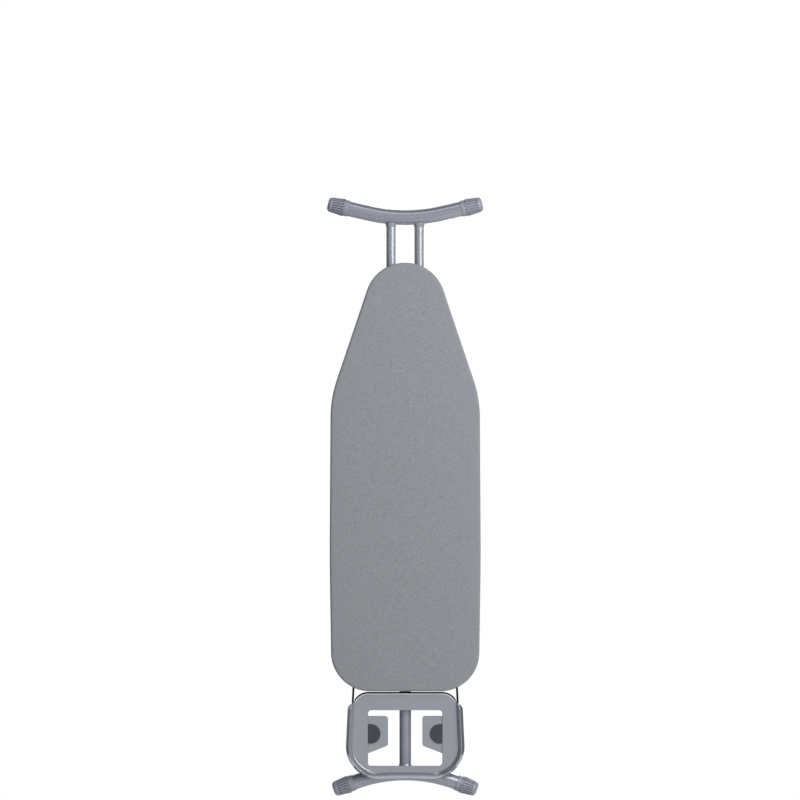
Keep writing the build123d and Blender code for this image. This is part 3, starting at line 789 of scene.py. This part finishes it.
# Stitches in a row along the line.
def stitchTree():
    tree, sockets, given, curve = lineTree("stitchRow", ("Pitch", "Length", "Thread"))
    link = tree.links.new
    places = addNode(tree, "GeometryNodeCurveToPoints", settings={"mode": "LENGTH"})
    link(curve, places.inputs["Curve"])
    link(given["Pitch"], places.inputs["Length"])
    size = addNode(tree, "ShaderNodeCombineXYZ")
    link(given["Thread"], size.inputs["X"])
    link(given["Thread"], size.inputs["Y"])
    link(given["Length"], size.inputs["Z"])
    roundness = {"Radius": 0.5, "Subdivisions": stitchSettings["subdivisions"]}
    stitch = addNode(tree, "GeometryNodeMeshIcoSphere", values=roundness)
    shape = addNode(tree, "GeometryNodeTransform")
    link(stitch.outputs["Mesh"], shape.inputs["Geometry"])
    link(size.outputs["Vector"], shape.inputs["Scale"])
    row = addNode(tree, "GeometryNodeInstanceOnPoints")
    link(places.outputs["Points"], row.inputs["Points"])
    link(places.outputs["Rotation"], row.inputs["Rotation"])
    link(shape.outputs["Geometry"], row.inputs["Instance"])
    finishTree(tree, given, row.outputs["Instances"])
    return tree, sockets


def makeStitches(settings, points):
    lifted = [(x, y + settings["lift"], z) for x, y, z in points]
    edges = [(index, (index + 1) % len(lifted)) for index in range(len(lifted))]
    cloth = finishes["cover_cloth"]
    return growAlong("hem_stitches", lifted, edges, stitchTree(), settings, cloth)


stitches = makeStitches(stitchSettings, seamPoints)
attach(stitches, "board")
print("stitches made:", len(stitches.data.polygons), "faces")

padSettings = {
    "front": -48.6 * mm,
    "back": -42.8 * mm,
    "inset": 1.6 * mm,
    "edgeRadius": 2.6 * mm,
    "frontReach": 4.5 * mm,
    "edgeSteps": 4,
    "rings": 14,
    "mergeDistance": 0.02 * mm,
}


def makePad(settings):
    front = settings["front"]
    back = settings["back"]
    inset = settings["inset"]
    radius = settings["edgeRadius"]
    reach = settings["frontReach"]
    rows = []
    for angle in quarterTurn(settings["edgeSteps"]):
        rows.append((inset + radius * (1 - math.sin(angle)), back - radius * (1 - math.cos(angle))))
    for angle in quarterTurn(settings["edgeSteps"]):
        rows.append((inset + reach * (1 - math.cos(angle)), front + radius * (1 - math.sin(angle))))
    rings = settings["rings"]
    inner = insetOutline(rows[0][0])
    outer = insetOutline(rows[-1][0])
    points = []
    for ring in range(rings):
        points += drawnIn(inner, ring / rings, back)
    for rowInset, depth in rows:
        points += [(point.x, depth, point.y) for point in insetOutline(rowInset)]
    for ring in range(1, rings + 1):
        points += drawnIn(outer, 1 - ring / rings, front)
    faces = ringsToFaces(len(outline), 2 * rings + len(rows))
    thing = meshObject("pad_foam", points, faces, finishes["pad_foam"])
    mergeClose(thing, settings["mergeDistance"])
    return thing


pad = makePad(padSettings)
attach(pad, "board")
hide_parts("foam_pad")
print("pad made:", len(pad.data.polygons), "faces")


stripSettings = {
    "bendPoints": 12,
    "edgePoints": 4,
    "mergeDistance": 0.001 * mm,
}


def roundCorners(tree, curve, radius, count):
    node = addNode(tree, "GeometryNodeFilletCurve", settings={"mode": "POLY"}, values={"Count": count})
    tree.links.new(curve, node.inputs["Curve"])
    tree.links.new(radius, node.inputs["Radius"])
    return node.outputs["Curve"]


# A strip swept along the line, with the line's corners and the strip's own edges rounded.
def stripTree():
    tree, sockets, given, curve = lineTree("sweptStrip", ("Bend", "Width", "Thickness", "Edge"))
    link = tree.links.new
    bent = roundCorners(tree, curve, given["Bend"], stripSettings["bendPoints"])
    section = addNode(tree, "GeometryNodeCurvePrimitiveQuadrilateral")
    link(given["Width"], section.inputs["Width"])
    link(given["Thickness"], section.inputs["Height"])
    outer = section.outputs["Curve"]
    softened = roundCorners(tree, outer, given["Edge"], stripSettings["edgePoints"])
    strip = addNode(tree, "GeometryNodeCurveToMesh", values={"Fill Caps": True})
    link(bent, strip.inputs["Curve"])
    link(softened, strip.inputs["Profile Curve"])
    finishTree(tree, given, strip.outputs["Mesh"])
    return tree, sockets


stripParts = stripTree()


def sweepAlong(name, points, settings, material):
    edges = [(index, index + 1) for index in range(len(points) - 1)]
    thing = growAlong(name, points, edges, stripParts, settings, material)
    mergeClose(thing, stripSettings["mergeDistance"])
    return thing


springSettings = {
    "x": 77.0 * mm,
    "footY": -39.4 * mm,
    "tipY": -22.6 * mm,
    "topZ": -391.0 * mm,
    "bendZ": -419.0 * mm,
    "earZ": -422.9 * mm,
    "endZ": -433.9 * mm,
    "bend": 3.2 * mm,
    "width": 9.0 * mm,
    "thickness": 0.8 * mm,
    "edge": 0.15 * mm,
}


# The leaf spring gives between its foot on the brace and its tip under the lever's ear.
def makeSpring(settings):
    x = settings["x"]
    top = (x, settings["footY"], settings["topZ"])
    foot = (x, settings["footY"], settings["bendZ"])
    tip = (x, settings["tipY"], settings["earZ"])
    end = (x, settings["tipY"], settings["endZ"])
    leaf = sweepAlong("spring_leaf", [top, foot, tip, end], settings, finishes["plated_steel"])
    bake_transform(leaf)
    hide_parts("lever_spring")
    return leaf


spring = makeSpring(springSettings)
print("spring made:", len(spring.data.polygons), "faces")

# Bead along the tray's top edge, just under the dark strip: a rolled edge, painted near-white as a painted
# highlight.
beadSettings = {
    "topZ": -1219.6 * mm,
    "cornerX": 115.6 * mm,
    "endX": 126.8 * mm,
    "endZ": -1238.7 * mm,
    "plateY": -29.9 * mm,
    "bend": 36.7 * mm,
    "width": 2.6 * mm,
    "thickness": 2.6 * mm,
    "edge": 1.25 * mm,
    # Near-white paint: a painted highlight on the rolled edge.
    "paint": {
        "name": "beadHighlightPaint",
        "color": (246, 248, 250),
        "rough": 0.25,
        "metal": 0.0,
        "drift": 0.01,
        "grain": 1500.0,
        "grainDepth": 0.001 * mm,
        "edge": 0.0,
    },
}


def makeEdgeBead(settings):
    y = settings["plateY"]
    half = [(settings["cornerX"], y, settings["topZ"]), (settings["endX"], y, settings["endZ"])]
    points = [(-x, depth, z) for x, depth, z in reversed(half)] + half
    bead = sweepAlong("rest_edge_bead", points, settings, surfaceMaterial(**settings["paint"]))
    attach(bead, "board")
    return bead


edgeBead = makeEdgeBead(beadSettings)
print("edge bead made:", len(edgeBead.data.polygons), "faces")

floorSettings = {
    "height": -2.3,
    "size": 5.0,
    "glow": 0.22,
    "darkTone": 0.86,
    "lightTone": 0.9,
    "speckle": 3.0,
    "rough": 0.9,
}


# One for rays that show the background: those of the camera, and those through gloss and glass.
def seenRays(tree, mirrored=None):
    path = addNode(tree, "ShaderNodeLightPath").outputs
    shown = combine(tree, "MAXIMUM", path["Is Glossy Ray"], path["Is Transmission Ray"])
    if mirrored:
        shown = combine(tree, "MULTIPLY", shown, mirrored)
    return combine(tree, "MAXIMUM", path["Is Camera Ray"], shown)


# Pale floor below the hanging board.
def addFloor(settings):
    half = settings["size"] / 2
    z = settings["height"]
    corners = [(-half, -half, z), (half, -half, z), (half, half, z), (-half, half, z)]
    dark = settings["darkTone"]
    light = settings["lightTone"]
    material, tree, shader = newMaterial("floorPaint")
    speckle = evenNoise(tree, settings["speckle"])
    stops = [(noiseLow, (dark, dark, dark, 1)), (noiseHigh, (light, light, light, 1))]
    tones = ramp(tree, speckle, stops)
    tree.links.new(tones, shader.inputs["Base Color"])
    shader.inputs["Roughness"].default_value = settings["rough"]
    shader.inputs["Emission Color"].default_value = (1, 1, 1, 1)
    glow = spread(tree, seenRays(tree), 0.0, settings["glow"], 0.0, 1.0)
    tree.links.new(glow, shader.inputs["Emission Strength"])
    floor = meshObject("floor", corners, [[0, 1, 2, 3]], material)


# Places and sizes in metres, energy in watts; all lights look at the board's middle.
lightAim = (0.0, 0.0, -0.7)
lightSettings = {
    "keyLight": {"place": (1.75, -2.5, 0.4), "size": (2.2, 2.8), "energy": 85.0},
    "topLight": {"place": (0.4, -1.2, 2.3), "size": (2.4, 1.0), "energy": 12.0},
    "backLight": {"place": (1.2, 3.0, 0.2), "size": (2.4, 2.4), "energy": 55.0},
}


def addLight(name, place, size, energy):
    data = bpy.data.lights.new(name, "AREA")
    data.shape = "RECTANGLE"
    data.size = size[0]
    data.size_y = size[1]
    data.energy = energy
    light = bpy.data.objects.new(name, data)
    scene.collection.objects.link(light)
    light.location = place
    light.rotation_euler = (Vector(lightAim) - Vector(place)).to_track_quat("-Z", "Y").to_euler()


worldSettings = {
    "brightSide": (0.3, -1.0, -0.25),
    "dimFrom": 0.0,
    "brightFrom": 0.9,
    "dimLevel": 0.01,
    "brightLevel": 0.5,
    "backFrom": -0.74,
    "backFull": -0.9,
    "backLevel": 1.0,
    "backdropFrom": 0.9,
    "backdropFull": 0.97,
}


# Soft surroundings, brightest in front, with a white backdrop that the camera and the gloss see.
def addWorld(settings):
    world = bpy.data.worlds.new("studio")
    scene.world = world
    world.use_nodes = True
    tree = world.node_tree
    tree.nodes.clear()
    output = addNode(tree, "ShaderNodeOutputWorld")
    direction = addNode(tree, "ShaderNodeTexCoord").outputs["Generated"]
    facing = addNode(tree, "ShaderNodeVectorMath", settings={"operation": "DOT_PRODUCT"})
    facing.inputs[1].default_value = Vector(settings["brightSide"]).normalized()
    tree.links.new(direction, facing.inputs[0])
    side = facing.outputs["Value"]
    front = spread(
        tree,
        side,
        settings["dimLevel"],
        settings["brightLevel"],
        settings["dimFrom"],
        settings["brightFrom"],
    )
    back = spread(tree, side, 0.0, settings["backLevel"], settings["backFrom"], settings["backFull"])
    behind = addNode(tree, "ShaderNodeSeparateXYZ")
    tree.links.new(direction, behind.inputs["Vector"])
    depth = behind.outputs["Y"]
    backdrop = spread(tree, depth, 0.0, 1.0, settings["backdropFrom"], settings["backdropFull"])
    soft = addNode(tree, "ShaderNodeBackground", values={"Color": (1, 1, 1, 1)})
    tree.links.new(combine(tree, "ADD", front, back), soft.inputs["Strength"])
    seen = addNode(tree, "ShaderNodeBackground", values={"Color": (1, 1, 1, 1), "Strength": 1.0})
    mix = addNode(tree, "ShaderNodeMixShader")
    tree.links.new(seenRays(tree, backdrop), mix.inputs["Fac"])
    tree.links.new(soft.outputs["Background"], mix.inputs[1])
    tree.links.new(seen.outputs["Background"], mix.inputs[2])
    tree.links.new(mix.outputs["Shader"], output.inputs["Surface"])


# The lens comes from the width that the picture spans at the board.
cameraSettings = {
    "distance": 10.0,
    "viewWidth": 2052 * mm,
    "viewX": -13.3 * mm,
    "viewZ": -468.1 * mm,
    "sensor": 36.0,
}


def addCamera(settings):
    data = bpy.data.cameras.new("camera")
    data.sensor_width = settings["sensor"]
    data.sensor_fit = "HORIZONTAL"
    data.lens = settings["sensor"] * settings["distance"] / settings["viewWidth"]
    camera = bpy.data.objects.new("camera", data)
    scene.collection.objects.link(camera)
    camera.location = (settings["viewX"], -settings["distance"], settings["viewZ"])
    camera.rotation_euler = (math.pi / 2, 0.0, 0.0)
    scene.camera = camera


addFloor(floorSettings)
for lightName, settings in lightSettings.items():
    addLight(lightName, **settings)
addWorld(worldSettings)
addCamera(cameraSettings)
scene.view_settings.view_transform = "Standard"
print("stage set")
